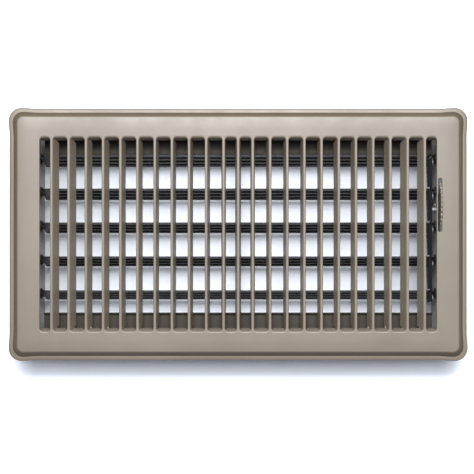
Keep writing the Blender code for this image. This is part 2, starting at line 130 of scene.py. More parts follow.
# Box
WALL = 0.0008
BEND = 0.0010
WALL_INNER = 0.0726
LIP_EDGE = 0.0605
LIP_TOP_REAR = 0.0216
LIP_TOP_FRONT = 0.0246
HEM_RUN = 0.0011
HEM_HEIGHT = 0.0022  # turned down at the rear and up at the front
TAB_LENGTH = 0.0130
TAB_GAP = 0.0003
SHOULDER = 0.0225
SHOULDER_STEP = 0.0010
FOOT_CUT = 0.0015
BUSH_HOLE = 0.0033
FLANGE_HALF = 0.0675
FLANGE_CLEAR = 0.0010  # between a flange's end and the lever slot
LEVER_RELIEF = 0.0060
WINDOW_REACH = radians(42.5)
WINDOW_HALF = 0.0026

# Blades and linkage
BLADE_SHEET = 0.0007
BLADE_ABOVE = 0.0070
BLADE_BELOW = 0.0210
REST_TILT = radians(15.5)
RIB_PITCH = 0.0076
RIB_HALF = 0.0017
RIB_HEIGHT = 0.0009
RIB_END = 0.0060
RIB_FADE = 0.0055
RIB_FADE_LEAD = 0.0015
BLADE_END = 0.1472
SHEET_CORNER = 0.0020
EDGE_ROWS = (0.0006, 0.0018)  # rows of points near the long edges
END_COLUMNS = (0, 0.0004, 0.0010, 0.0018)  # columns of points near the ends
MIDDLE_COLUMNS = (0.100, 0.050)
FADE_COLUMNS = 9  # columns where the ribs fade
FADE_COLUMNS_LEAD = 0.0012
FADE_COLUMNS_STEP = 0.0008
NOTCH = (0.1434, 0.1452)
NOTCH_FLOOR = 0.0019
EAR = 0.0008
EAR_FACE = 0.1424
EAR_RADIUS = 0.0023
TIP_RADIUS = 0.0030
STUB_RADIUS = 0.0016
STUD_RADIUS = 0.0012
STUD_PAST_CLIP = 0.0003
ROOT = 0.0004  # how far inside an ear its stub and stud start
PIN_HOLE = 0.0015
LINK_LOBE = 0.0029
LOBE_RUN = 0.0014
LINK_BOW = 0.0006
LINK_BOW_SHARE = 0.03  # the bow's limit on a short run, as a share of its length
LINK_WAIST = 0.0022
FLANGE_UNDER = 0.0026
FLANGE_THICK = 0.0009
FLANGE_NOTCH = (0.0044, 0.0068)
FLANGE_ROUND = 0.0006
LEVER_RADIUS = 0.0220
LEVER_HUB = 0.0055
LEVER_THICK = 0.0010
LEVER_FROM = radians(-104)
LEVER_TO = radians(50)
TOOTH_DEPTH = 0.0008
TOOTH_STEPS = 10
TOOTH_NARROWING = 1.6
TEETH = 15

# Small round parts
CLIP_RADIUS = 0.0026
WASHER_RADIUS = 0.0040
WASHER_CHAMFER = 0.00008
BUSH_BORE = 0.0019
BUSH_BARREL = 0.0030
BUSH_FLANGE = 0.0040
BUSH_FLANGE_THICK = 0.0007
BUSH_CHAMFER = 0.0002
BUSH_TIP_CHAMFER = 0.0001
RIVET_HOLE = 0.0018
RIVET_SHANK = 0.0015
RIVET_HEAD = 0.0032
RIVET_HEAD_RIM = 0.0003
RIVET_HEAD_DOME = 0.0007
RIVET_TAIL = 0.0029
RIVET_TAIL_THICK = 0.0008
RIVET_TAIL_CHAMFER = 0.0003
PIN_SHANK = 0.0012
PIN_CHAMFER = 0.0002
PIN_COLLAR = 0.0020
PIN_COLLAR_GAP = 0.0003
PIN_HEAD = 0.0022
PIN_HEAD_TOP = 0.0018
PIN_HEAD_THICK = 0.0008
PIN_HEAD_RIM = 0.0005

# Floor and camera
FLOOR_SIZE = 8
FLOOR_GAP = 0.0002
SENSOR = 36
CAMERA_HEIGHT = 1.040
CAMERA_SHIFT = (-0.00085, -0.0020)
VIEW_WIDTH = 0.351


# Materials


class Nodes:
    """A material's node tree, with short calls for the nodes that the finishes share."""

    def __init__(self, name, roughness, metallic=0.0):
        self.material = bpy.data.materials.new(name)
        self.material.use_nodes = True
        self.tree = self.material.node_tree
        self.shader = self.tree.nodes["Principled BSDF"]
        self.shader.inputs["Roughness"].default_value = roughness
        self.shader.inputs["Metallic"].default_value = metallic
        self.place = self.add("ShaderNodeTexCoord").outputs["Object"]

    def add(self, kind, **values):
        node = self.tree.nodes.new(kind)
        for key, value in values.items():
            node.inputs[key.replace("_", " ")].default_value = value
        return node

    def link(self, output, target):
        self.tree.links.new(output, target)

    def noise(self, scale, detail=2.0, rough=0.5, stretch=None):
        node = self.add("ShaderNodeTexNoise", Scale=scale, Detail=detail, Roughness=rough)
        source = self.place
        if stretch:
            mapping = self.add("ShaderNodeMapping", Scale=stretch)
            self.link(self.place, mapping.inputs["Vector"])
            source = mapping.outputs["Vector"]
        self.link(source, node.inputs["Vector"])
        return node.outputs["Fac"]

    def cells(self, scale):
        node = self.add("ShaderNodeTexVoronoi", Scale=scale)
        self.link(self.place, node.inputs["Vector"])
        return node.outputs["Color"]

    def map(self, value, low, high, to_low, to_high):
        node = self.add("ShaderNodeMapRange", From_Min=low, From_Max=high, To_Min=to_low, To_Max=to_high)
        self.link(value, node.inputs["Value"])
        return node.outputs["Result"]

    def mix(self, factor, first, second):
        node = self.add("ShaderNodeMix")
        node.data_type = "RGBA"
        self.link(factor, node.inputs[0])
        for socket, value in ((node.inputs[6], first), (node.inputs[7], second)):
            if isinstance(value, tuple):
                socket.default_value = (*value, 1)
            else:
                self.link(value, socket)
        return node.outputs[2]

    def bump(self, height, distance, strength=1.0, under=None):
        node = self.add("ShaderNodeBump", Distance=distance, Strength=strength)
        self.link(height, node.inputs["Height"])
        if under:
            self.link(under, node.inputs["Normal"])
        return node.outputs["Normal"]

    def finish(self, colour, roughness, normal):
        self.link(colour, self.shader.inputs["Base Color"])
        self.link(roughness, self.shader.inputs["Roughness"])
        self.link(normal, self.shader.inputs["Normal"])
        return self.material


def scaled(colour, by):
    return tuple(channel * by for channel in colour)


def enamel(name, colour, roughness, peel, edge, edge_share, shine=0.5):
    """Sprayed and baked paint: orange peel, slow tone shifts, fine specks, thin or rubbed edges.

    Painted shade: darker where the mesh's step attribute is above 0, which is only on the face's step.
    """
    made = Nodes(name, roughness)
    made.shader.inputs["Specular IOR Level"].default_value = shine
    tone = made.map(made.noise(18, 3), 0.35, 0.65, 0.0, 1.0)
    base = made.mix(tone, scaled(colour, 0.955), scaled(colour, 1.045))
    specks = made.map(made.noise(2600, 1), 0.66, 0.72, 0.0, 0.16)
    base = made.mix(specks, base, scaled(colour, 0.55))
    # painted shade on the face pressing's step, read from the mesh's step attribute
    drawn = made.add("ShaderNodeAttribute")
    drawn.attribute_name = "drawn"
    dark = tuple(channel * share for channel, share in zip(colour, STEP_SHADE_KEEPS))
    base = made.mix(drawn.outputs["Fac"], base, dark)
    point = made.add("ShaderNodeNewGeometry").outputs["Pointiness"]
    rubbed = made.add("ShaderNodeMath")
    rubbed.operation = "MULTIPLY"
    made.link(made.map(point, 0.53, 0.60, 0.0, edge_share), rubbed.inputs[0])
    made.link(made.map(made.noise(260, 4), 0.40, 0.62, 0.25, 1.0), rubbed.inputs[1])
    base = made.mix(rubbed.outputs["Value"], base, edge)
    gloss = made.map(made.noise(60, 4), 0.3, 0.7, roughness - 0.05, roughness + 0.05)
    fine = made.bump(made.noise(2200, 2), 0.00002, 0.4)
    normal = made.bump(made.noise(520, 2), peel, 0.55, fine)
    return made.finish(base, gloss, normal)


def zinc(name):
    """Bright zinc plate on small turned parts: faint crystals, fine draw lines, dull patches."""
    made = Nodes(name, 0.45, 0.6)
    crystals = made.map(made.cells(900), 0.0, 1.0, 0.0, 1.0)
    base = made.mix(crystals, (0.26, 0.27, 0.28), (0.36, 0.36, 0.35))
    dull = made.map(made.noise(900, 4), 0.42, 0.66, 0.0, 0.5)
    base = made.mix(dull, base, (0.20, 0.20, 0.19))
    gloss = made.map(made.noise(700, 3), 0.3, 0.7, 0.42, 0.60)
    normal = made.bump(made.noise(1500, 3, stretch=(8, 1, 1)), 0.00002, 0.6)
    return made.finish(base, gloss, normal)


def nylon(name):
    """Moulded black nylon: fine matt grain and a slight bloom."""
    made = Nodes(name, 0.55)
    bloom = made.map(made.noise(300, 4), 0.4, 0.7, 0.0, 0.5)
    base = made.mix(bloom, (0.022, 0.022, 0.023), (0.045, 0.045, 0.046))
    gloss = made.map(made.noise(500, 2), 0.3, 0.7, 0.46, 0.62)
    normal = made.bump(made.noise(3200, 3), 0.00003, 0.5)
    return made.finish(base, gloss, normal)


RUBBED_TAUPE = (0.27, 0.23, 0.18)
TAUPE = enamel(
    "taupe_enamel",
    colour=(0.190, 0.160, 0.124),
    roughness=0.41,
    peel=0.00005,
    edge=RUBBED_TAUPE,
    edge_share=0.35,
    shine=0.46,
)
# A darker, matt copy of the taupe enamel: painted shade on the long walls and their lips under the face.
SHADED_TAUPE = enamel(
    "dry_taupe_enamel",
    colour=(0.085, 0.074, 0.060),
    roughness=0.7,
    peel=0.00006,
    edge=(0.15, 0.13, 0.11),
    edge_share=0.45,
    shine=0.2,
)
BLACK = enamel(
    "black_enamel",
    colour=(0.034, 0.033, 0.031),
    roughness=0.26,
    peel=0.00005,
    edge=(0.09, 0.085, 0.08),
    edge_share=0.30,
)
MATT_BLACK = enamel(
    "matt_black_enamel",
    colour=(0.010, 0.0095, 0.009),
    roughness=0.6,
    peel=0.00005,
    edge=(0.07, 0.065, 0.06),
    edge_share=0.3,
    shine=0.15,
)
# A smoother copy of the taupe enamel for the end plates; its lighter, greyer colour is painted light,
# the floor's light on their inner faces.
SMOOTH_LIT_TAUPE = enamel(
    "smooth_taupe_enamel",
    colour=(0.27, 0.25, 0.225),
    roughness=0.34,
    peel=0.00002,
    edge=RUBBED_TAUPE,
    edge_share=0.35,
    shine=0.6,
)
ZINC = zinc("zinc_plate")
NYLON = nylon("black_nylon")


# Shape tools


def ring(bm, points):
    """A closed loop of new points and edges."""
    verts = [bm.verts.new(point) for point in points]
    edges = [bm.edges.new((a, b)) for a, b in zip(verts, verts[1:] + verts[:1])]
    return verts, edges


def loft(bm, first, second):
    """Faces between two closed loops."""
    for i, vert in enumerate(first):
        j = (i + 1) % len(first)
        bm.faces.new((vert, first[j], second[j], second[i]))


def strip(bm, first, second):
    """Faces between two open lines of points."""
    for i in range(len(first) - 1):
        bm.faces.new((first[i], first[i + 1], second[i + 1], second[i]))


def turn_faces(bm, wanted):
    """Makes the faces agree, with the largest one turned towards the wanted direction."""
    bmesh.ops.recalc_face_normals(bm, faces=bm.faces)
    flat = max(bm.faces, key=lambda face: face.calc_area())
    flat.normal_update()
    if flat.normal.dot(Vector(wanted)) < 0:
        bmesh.ops.reverse_faces(bm, faces=bm.faces)


def arc(centre, radius, start, stop, steps):
    angles = (start + (stop - start) * i / steps for i in range(steps + 1))
    return [(centre[0] + radius * cos(a), centre[1] + radius * sin(a)) for a in angles]


def circle(centre, radius, steps=40):
    return arc(centre, radius, 0, 2 * pi * (steps - 1) / steps, steps - 1)


def polar(centre, radius, angle):
    """A place at an angle from straight up, turning towards +Y, in the YZ plane."""
    return centre[0] + radius * sin(angle), centre[1] + radius * cos(angle)


def crank_of(pivot):
    """The place, at rest, of the crank that belongs to a pivot."""
    return pivot[0] + CRANK_STEP.x, pivot[1] + CRANK_STEP.y


def smoothstep(t):
    t = min(1.0, max(0.0, t))
    return t * t * (3 - 2 * t)


def eased(t, foot, top):
    """A straight climb from 0 to 1, rounded off over its first share and its last share."""
    climb = min(t, foot) ** 2 / (2 * foot) + max(t - foot, 0.0) - max(t - 1 + top, 0.0) ** 2 / (2 * top)
    return climb / (1 - foot / 2 - top / 2)


def piece(bm, name, material, body, stands_for, thickness=None, edge=0.0, angle=32):
    """Makes the object, gives it its thickness and softened edges, and ties it to the frame.

    Edge is the width of the softening, and angle is where shading stops being smooth, in degrees.
    """
    mesh = bpy.data.meshes.new(name)
    bm.to_mesh(mesh)
    bm.free()
    mesh.materials.append(material)
    made = bpy.data.objects.new(name, mesh)
    bpy.context.scene.collection.objects.link(made)
    if thickness:
        shell = made.modifiers.new("thickness", "SOLIDIFY")
        shell.thickness = thickness
        shell.offset = -1
        shell.use_even_offset = True
    if edge:
        soft = made.modifiers.new("edges", "BEVEL")
        soft.width = edge
        soft.segments = 2
        soft.limit_method = "ANGLE"
        soft.angle_limit = radians(55)
        soft.miter_outer = "MITER_ARC"
    mesh.shade_smooth()
    mesh.set_sharp_from_angle(angle=radians(angle))
    normals = made.modifiers.new("normals", "WEIGHTED_NORMAL")
    normals.keep_sharp = True
    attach(made, body)
    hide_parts(*stands_for)


# The face grille


def rim_loop(inset, corner, flare):
    """The rim's outline, moved in by inset; its corners swell outwards by flare."""
    x = RIM_X - inset
    y = RIM_Y - inset
    points = []
    runs = [i / 6 for i in range(6)]
    for i, (sx, sy) in enumerate(((1, 1), (-1, 1), (-1, -1), (1, -1))):
        centre = (sx * (x - corner + flare), sy * (y - corner + flare))
        turn = arc(centre, corner, i * pi / 2, (i + 1) * pi / 2, 12)
        on_x_side = [
            (sx * (x + flare * smoothstep(t)), sy * (y - corner - FLARE_RUN * (1 - t))) for t in runs
        ]
        on_y_side = [
            (sx * (x - corner - FLARE_RUN * (1 - t)), sy * (y + flare * smoothstep(t))) for t in runs
        ]
        before, after = (on_x_side, on_y_side) if sx * sy > 0 else (on_y_side, on_x_side)
        points += [*before, *turn, *reversed(after)]
    return points


def slot_sides():
    """Each slot as its left and right side: place on X, lean per metre of depth, and leg depth."""
    bars = [(0.0, MIDDLE_BAR_WIDTH / 2, 0.0)]
    most = tan(radians(LEAN_DEGREES[-1]))
    for k in range(1, len(LEAN_DEGREES)):
        x = FIRST_BAR + (k - 1) * BAR_PITCH
        lean = tan(radians(LEAN_DEGREES[k]))
        bars += [(x, BAR_WIDTH / 2, -lean), (-x, BAR_WIDTH / 2, lean)]
    sides = [(-SLOT_FIELD_END, 0.0, OUTER_LIP_DEPTH)]
    for x, half, lean in sorted(bars):
        crown = x - (half - CROWN_HALF) * lean / most
        for side in (-1, 1):
            top = crown + side * CROWN_HALF
            foot = x + side * half + lean * LEG_DEPTH
            sides.append((top, (foot - top) / LEG_DEPTH, LEG_DEPTH))
    sides.append((SLOT_FIELD_END, 0.0, OUTER_LIP_DEPTH))
    return list(zip(sides[0::2], sides[1::2]))


def slot_stations(left, right):
    """Round a slot: each station's place, its direction into the metal, lean, depth and roll."""
    stations = []
    for (x, lean, depth), sx, signs in ((right, 1, (-1, 1)), (left, -1, (1, -1))):
        crown = CROWN if depth == LEG_DEPTH else OUTER_ROLL
        for sy in signs:
            start = {(1, -1): -pi / 2, (1, 1): 0, (-1, 1): pi / 2, (-1, -1): pi}[(sx, sy)]
            corner = []
            for i in range(7):
                a = start + pi / 2 * i / 6
                out = (cos(a), sin(a))
                px = x - sx * SLOT_CORNER + SLOT_CORNER * out[0]
                py = sy * (SLOT_HALF_LENGTH - SLOT_CORNER) + SLOT_CORNER * out[1]
                side = out[0] ** 2
                drop = END_LIP_DEPTH + (min(depth, END_LIP_DEPTH) - END_LIP_DEPTH) * side
                corner.append(((px, py), out, lean * side, drop, side, crown))
            leg = []
            for i in range(6):
                t = i / 6
                py = sy * (LEG_RUN_OUT + (SLOT_HALF_LENGTH - SLOT_CORNER - LEG_RUN_OUT) * t)
                drop = depth + (min(depth, END_LIP_DEPTH) - depth) * smoothstep(t)
                leg.append(((x, py), (sx, 0), lean, drop, 1.0, crown))
            stations += [*corner, *reversed(leg)] if sy == signs[0] else [*leg, *corner]
    return stations


def sign(value):
    return (value > 0) - (value < 0)


def slot_loops(stations):
    """Loops from the flat face, over the rolled edge and down the legs to their cut edge."""
    loops = []
    turns = 6
    downs = 3
    for level in range(turns + downs + 1):
        points = []
        for (x, y), (ox, oy), lean, depth, side, crown in stations:
            roll = END_ROLL + (crown - END_ROLL) * side
            if level <= turns:
                a = pi / 2 * level / turns
                back = roll * (1 - sin(a))
                drop = roll * (1 - cos(a))
            else:
                back = 0
                drop = roll + (depth - roll) * (level - turns) / downs
            reach = END_LIP_REACH * (1 - side) * smoothstep(drop / END_LIP_DEPTH)
            points.append((x + ox * back + lean * drop, y + oy * back - sign(oy) * reach, -drop))
        loops.append(points)
    return loops


def lever_slot_loops():
    """Loops from the flat face over the rolled edge of the lever's slot."""
    half = LEVER_SLOT_WIDTH / 2
    x = LEVER_SLOT_X
    end = LEVER_SLOT_HALF_LENGTH - half
    loops = []
    for level in range(5):
        a = pi / 2 * level / 4
        grown = half + SLOT_ROLL * (1 - sin(a))
        drop = SLOT_ROLL * (1 - cos(a))
        y = LEVER_PIVOT[0]
        outline = arc((x, y + end), grown, 0, pi, 14) + arc((x, y - end), grown, pi, 2 * pi, 14)
        loops.append([(px, py, -drop) for px, py in outline])
    return loops


def lifted(points):
    return [(x, y, FACE_TOP + z) for x, y, z in points]


def make_face():
    """The pressing: rim ledge, step and dome, with the slots and the lever slot cut in the flat.

    Each loop of the profile has its inset, corner radius, flare, height and share of painted shade.
    """
    bm = bmesh.new()
    # each point's share of painted shade, for the enamel to read
    drawn = bm.verts.layers.float.new("drawn")
    profile = []
    for i in range(7):
        t = i / 6
        down = EDGE_ROLL * (1 - t) ** 3 + LEDGE_FALL * (1 - t)
        profile.append((LEDGE * t - FOOT_FILLET * t, RIM_CORNER, CORNER_FLARE, -RIM_DROP - down, 0.0))
    steps = 18
    for i in range(steps + 1):
        t = i / steps
        corner = RIM_CORNER + (FACE_CORNER - RIM_CORNER) * (CORNER_JUMP + (1 - CORNER_JUMP) * t)
        inset = LEDGE + RIM_SLOPE * t
        climb = eased(t, FOOT_FILLET / RIM_SLOPE, STEP_ROUND / RIM_SLOPE)
        drop = (RIM_DROP - DOME) * (climb - 1) - DOME
        # painted shade along the step: none at its foot, darkest between its two shares, none at its top
        dark = smoothstep(t / STEP_SHADE_FROM) * (1 - smoothstep((t - STEP_SHADE_TO) / (1 - STEP_SHADE_TO)))
        profile.append((inset, corner, CORNER_FLARE * (1 - t), drop, dark))
    for i in range(1, 9):
        t = i / 8
        profile.append((LEDGE + RIM_SLOPE + DOME_RUN * t, FACE_CORNER, 0.0, -DOME * (1 - t) ** 2, 0.0))
    before = None
    for inset, corner, flare, drop, dark in profile:
        verts, edges = ring(bm, lifted([(x, y, drop) for x, y in rim_loop(inset, corner, flare)]))
        for vert in verts:
            vert[drawn] = dark
        if before:
            loft(bm, before, verts)
        before = verts
    outline = list(edges)
    holes = [slot_loops(slot_stations(left, right)) for left, right in slot_sides()]
    for loops in [*holes, lever_slot_loops()]:
        before, edges = ring(bm, lifted(loops[0]))
        outline += edges
        for points in loops[1:]:
            verts, _ = ring(bm, lifted(points))
            loft(bm, before, verts)
            before = verts
    bmesh.ops.triangle_fill(bm, edges=outline, use_beauty=True, normal=(0, 0, 1))
    turn_faces(bm, (0, 0, 1))
    piece(bm, "face_pressing", TAUPE, "frame", ["face_grille"], SHEET, edge=0.00015)


# The box


def rounded_path(corners, radius, steps=6):
    """An open path of points with each inner corner turned through an arc."""
    path = [corners[0]]
    for a, b, c in zip(corners, corners[1:], corners[2:]):
        arriving = Vector(a) - Vector(b)
        leaving = Vector(c) - Vector(b)
        before = arriving.normalized()
        after = leaving.normalized()
        half = before.angle(after) / 2
        room = 0.45 * min(arriving.length, leaving.length)  # so that two arcs on an edge can't meet
        cut = min(radius / tan(half), room)
        start = Vector(b) + before * cut
        stop = Vector(b) + after * cut
        for i in range(steps + 1):
            t = i / steps
            path.append(tuple(start * (1 - t) ** 2 + Vector(b) * 2 * t * (1 - t) + stop * t * t))
    return [*path, corners[-1]]


def make_side_wall(node, side):
    """A long wall: flange out under the face, wall down, lip in and hem."""
    low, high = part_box(node)
    rear = side > 0
    lip_top = LIP_TOP_REAR if rear else LIP_TOP_FRONT
    hem = -HEM_HEIGHT if rear else HEM_HEIGHT
    outer = max(abs(low.y), abs(high.y))
    section = rounded_path(
        [
            (outer, high.z),
            (WALL_INNER, high.z),
            (WALL_INNER, lip_top),
            (LIP_EDGE, lip_top),
            (LIP_EDGE - HEM_RUN, lip_top + hem),
        ],
        BEND,
    )
    bm = bmesh.new()
    ends = [[bm.verts.new((x, side * y, z)) for y, z in section] for x in (low.x, high.x)]
    strip(bm, ends[0], ends[1])
    turn_faces(bm, (0, -side, 0))
    name = node.replace("side_wall", "wall") + "_sheet"
    # painted shade: the walls and lips take the darker copy of the taupe enamel
    piece(bm, name, SHADED_TAUPE, "frame", [node], WALL, edge=0.00012)


def bent_flange(bm, pair, first, second, length):
    """A strip from an edge that turns from one direction into another and runs on straight."""
    before = pair
    for i in range(1, 8):
        a = pi / 2 * min(i, 6) / 6
        run = BEND * sin(a) * Vector(first) + BEND * (1 - cos(a)) * Vector(second)
        if i == 7:
            run += (length - BEND) * Vector(second)
        after = [bm.verts.new(vert.co + run) for vert in pair]
        bm.faces.new((before[0], before[1], after[1], after[0]))
        before = after


def lever_window():
    """The curved window in the right end plate that the drive pin sweeps along."""
    reach = WINDOW_REACH
    radius = CRANK_STEP.length
    half = WINDOW_HALF
    outer = [polar(LEVER_PIVOT, radius + half, reach * (i / 8 - 1)) for i in range(17)]
    inner = [polar(LEVER_PIVOT, radius - half, reach * (1 - i / 8)) for i in range(17)]
    far = arc(polar(LEVER_PIVOT, radius, reach), half, pi / 2 - reach, -pi / 2 - reach, 12)[1:-1]
    near = arc(polar(LEVER_PIVOT, radius, -reach), half, reach - pi / 2, reach - 3 * pi / 2, 12)[1:-1]
    return outer + far + inner + near


def make_end_plate(node, side, runs, extra_holes):
    """An end plate: a tab at each side, a flange on top over each run, and cut lower corners."""
    low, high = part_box(node)
    inner = END_OUTER - WALL
    x = side * inner
    half = high.y - WALL
    tab_top = high.z - WALL - TAB_GAP
    top = high.z - BEND
    edge = half - BEND
    under_tab = SHOULDER - SHOULDER_STEP
    bm = bmesh.new()
    lower = [(-half + FOOT_CUT, low.z), (half - FOOT_CUT, low.z), (half, FOOT_CUT), (half, under_tab)]
    right_tab = [(edge, SHOULDER), (edge, tab_top)]
    upper = []
    for run in reversed(runs):
        if upper:
            upper += [(upper[-1][0], top - LEVER_RELIEF), (run[1], top - LEVER_RELIEF)]
        upper += [(place, top) for place in reversed(run)]
    left_tab = [(-edge, tab_top), (-edge, SHOULDER)]
    outline = lower + right_tab + upper + left_tab + [(-half, under_tab), (-half, FOOT_CUT)]
    verts, edges = ring(bm, [(x, y, z) for y, z in outline])
    holes = [circle(pivot, BUSH_HOLE) for pivot in PIVOTS]
    for hole in holes + extra_holes:
        edges += ring(bm, [(x, y, z) for y, z in hole])[1]
    bmesh.ops.triangle_fill(bm, edges=edges, use_beauty=True, normal=(side, 0, 0))
    right = len(lower)
    over = right + len(right_tab)
    left = over + len(upper)
    length = max(abs(low.x), abs(high.x)) - inner
    for start in range(over, left, 4):
        bent_flange(bm, verts[start : start + 2], (0, 0, 1), (side, 0, 0), length)
    bent_flange(bm, verts[right : right + 2], (0, 1, 0), (-side, 0, 0), TAB_LENGTH)
    bent_flange(bm, verts[left : left + 2], (0, -1, 0), (-side, 0, 0), TAB_LENGTH)
    turn_faces(bm, (-side, 0, 0))
    name = node.replace("end_plate", "end") + "_sheet"
    # painted light: the end plates take the lighter copy of the taupe enamel
    piece(bm, name, SMOOTH_LIT_TAUPE, "frame", [node], WALL, edge=0.00012)


# Blades


def rib_height(z):
    """Height of the pressed ribs across the chord."""
    middle = (BLADE_ABOVE - BLADE_BELOW) / 2
    away = min(abs(z - (middle + k * RIB_PITCH)) for k in (-1, 0, 1))
    if away >= RIB_HALF:
        return 0.0
    return RIB_HEIGHT * (0.5 + 0.5 * cos(pi * away / RIB_HALF))


def chord_rows():
    """Heights across a blade, from its top edge down: close together on each rib."""
    middle = (BLADE_ABOVE - BLADE_BELOW) / 2
    rows = [BLADE_ABOVE] + [BLADE_ABOVE - inset for inset in EDGE_ROWS]
    for k in (1, 0, -1):
        centre = middle + k * RIB_PITCH
        rows += [centre + RIB_HALF * (1 - i / 5) for i in range(11)]
    return rows + [-BLADE_BELOW + inset for inset in reversed(EDGE_ROWS)] + [-BLADE_BELOW]


def length_columns():
    """Places along a blade: close together where its ribs fade, and at the notch's sides."""
    fading = [RIB_END - FADE_COLUMNS_LEAD + FADE_COLUMNS_STEP * i for i in range(FADE_COLUMNS)]
    near = [*END_COLUMNS, *fading]
    half = [BLADE_END - distance for distance in near] + [*MIDDLE_COLUMNS]
    return sorted([-x for x in half] + [0.0, *half, *NOTCH])


def add_sheet(bm, turn):
    """The blade's ribbed sheet, with rounded corners; ribs fade out before its ends."""
    corner = SHEET_CORNER
    rows = chord_rows()
    before = None
    for x in length_columns():
        fade = smoothstep((BLADE_END - abs(x) - RIB_END + RIB_FADE_LEAD) / RIB_FADE)
        line = []
        for z in rows:
            over = max(z - (BLADE_ABOVE - corner), (-BLADE_BELOW + corner) - z, 0.0)
            pull = corner - sqrt(max(corner**2 - over**2, 0.0))
            reach = BLADE_END - pull
            px = max(-reach, min(reach, x))
            line.append(bm.verts.new(turn @ Vector((px, -rib_height(z) * fade, z))))
        if before:
            cut = NOTCH[0] < x <= NOTCH[1]
            kept = sum(z >= NOTCH_FLOOR for z in rows) - 1 if cut else 0
            strip(bm, before[kept:], line[kept:])
        before = line
    bmesh.ops.remove_doubles(bm, verts=bm.verts, dist=0.000001)
    loose = [vert for vert in bm.verts if not vert.link_faces]
    bmesh.ops.delete(bm, geom=loose, context="VERTS")


def capsule(a, b, radius, steps=20):
    """Two half circles joined by straight sides."""
    across = Vector(b) - Vector(a)
    turn = atan2(across.y, across.x)
    far = arc(b, radius, turn - pi / 2, turn + pi / 2, steps)
    near = arc(a, radius, turn + pi / 2, turn + 3 * pi / 2, steps)
    return far + near


def add_prism(bm, outline, holes, x, thickness):
    """A closed plate in the YZ plane from x to x + thickness."""
    loops = [outline, *holes]
    ends = []
    for at in (x, x + thickness):
        edges = []
        rings = [ring(bm, [(at, y, z) for y, z in loop]) for loop in loops]
        for _, some in rings:
            edges += some
        bmesh.ops.triangle_fill(bm, edges=edges, use_beauty=True, normal=(1, 0, 0))
        ends.append(rings)
    for (one, _), (two, _) in zip(*ends):
        loft(bm, one, two)


def add_turned(bm, section, centre, steps=40):
    """A round piece on an X axis; section holds (radius, x) points, closed or ending on the axis."""
    loops = []
    for radius, x in section:
        if radius == 0:
            loops.append([bm.verts.new((x, *centre))])
        else:
            points = circle(centre, radius, steps)
            loops.append([bm.verts.new((x, y, z)) for y, z in points])
    for one, two in zip(loops, loops[1:]):
        if len(one) == 1 or len(two) == 1:
            tip, rim = (one[0], two) if len(one) == 1 else (two[0], one)
            for i, vert in enumerate(rim):
                bm.faces.new((tip, vert, rim[(i + 1) % steps]))
        else:
            loft(bm, one, two)


def pin(radius, low, high, chamfer=0.00025):
    """The section of a plain pin with chamfered ends."""
    return [
        (0, low),
        (radius - chamfer, low),
        (radius, low + chamfer),
        (radius, high - chamfer),
        (radius - chamfer, high),
        (0, high),
    ]


def make_blade(number):
    """One blade in place: sheet in one object, ears, stubs and crank stud in another."""
    y, z = PIVOTS[number - 1]
    body = f"blade_{number}"
    bm = bmesh.new()
    turn = Matrix.Translation((0, y, z)) @ Matrix.Rotation(-REST_TILT, 4, "X")
    add_sheet(bm, turn)
    turn_faces(bm, turn.to_3x3() @ Vector((0, -1, 0)))
    piece(bm, f"{body}_sheet", BLACK, body, [body], BLADE_SHEET)
    bm = bmesh.new()
    crank = crank_of((y, z))
    stub = END_OUTER - BUSH_SET_BACK
    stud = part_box(f"link_clip_{number}")[1].x + STUD_PAST_CLIP
    add_prism(bm, capsule((y, z), crank, EAR_RADIUS), [], EAR_FACE, EAR)
    add_prism(bm, circle((y, z), TIP_RADIUS), [], -BLADE_END, EAR)
    add_turned(bm, pin(STUB_RADIUS, EAR_FACE + ROOT, stub), (y, z))
    add_turned(bm, pin(STUB_RADIUS, -stub, ROOT - BLADE_END), (y, z))
    add_turned(bm, pin(STUD_RADIUS, EAR_FACE + ROOT, stud), crank, 32)
    bmesh.ops.recalc_face_normals(bm, faces=bm.faces)
    piece(bm, f"{body}_ends", BLACK, body, [], edge=0.00012)


# Linkage and lever


def make_link():
    """The link: a lobed web in the YZ plane under a flange notched for the edges of blades 2 to 5."""
    z = LEAD_CRANK[1]
    cranks = [y + CRANK_STEP.x for y, _ in PIVOTS]
    places = sorted([*cranks, LEVER_PIVOT[0] + CRANK_STEP.x])
    first, last = places[0], places[-1]
    run = LINK_LOBE + LOBE_RUN
    outline = arc((first, z), LINK_LOBE, pi, 5 * pi / 3, 14)
    for y, following in zip(places, places[1:]):
        bow = min(LINK_BOW, (following - y) * LINK_BOW_SHARE)
        outline.append((y + run, z - LINK_WAIST))
        outline.append(((y + following) / 2, z - LINK_WAIST - bow))
        outline.append((following - run, z - LINK_WAIST))
        stop = 0 if following == last else -pi / 3
        outline += arc((following, z), LINK_LOBE, -2 * pi / 3, stop, 10)
    top = z + FLANGE_UNDER + FLANGE_THICK / 2
    outline += [(last + LINK_LOBE, top), (first - LINK_LOBE, top)]
    bm = bmesh.new()
    holes = [circle((y, z), PIN_HOLE, 28) for y in places]
    add_prism(bm, outline, holes, LINK_X, LINK_THICK)
    add_flange(bm, cranks)
    bmesh.ops.recalc_face_normals(bm, faces=bm.faces)
    piece(bm, "link_strip", MATT_BLACK, "link", ["link_bar"], edge=0.00015)


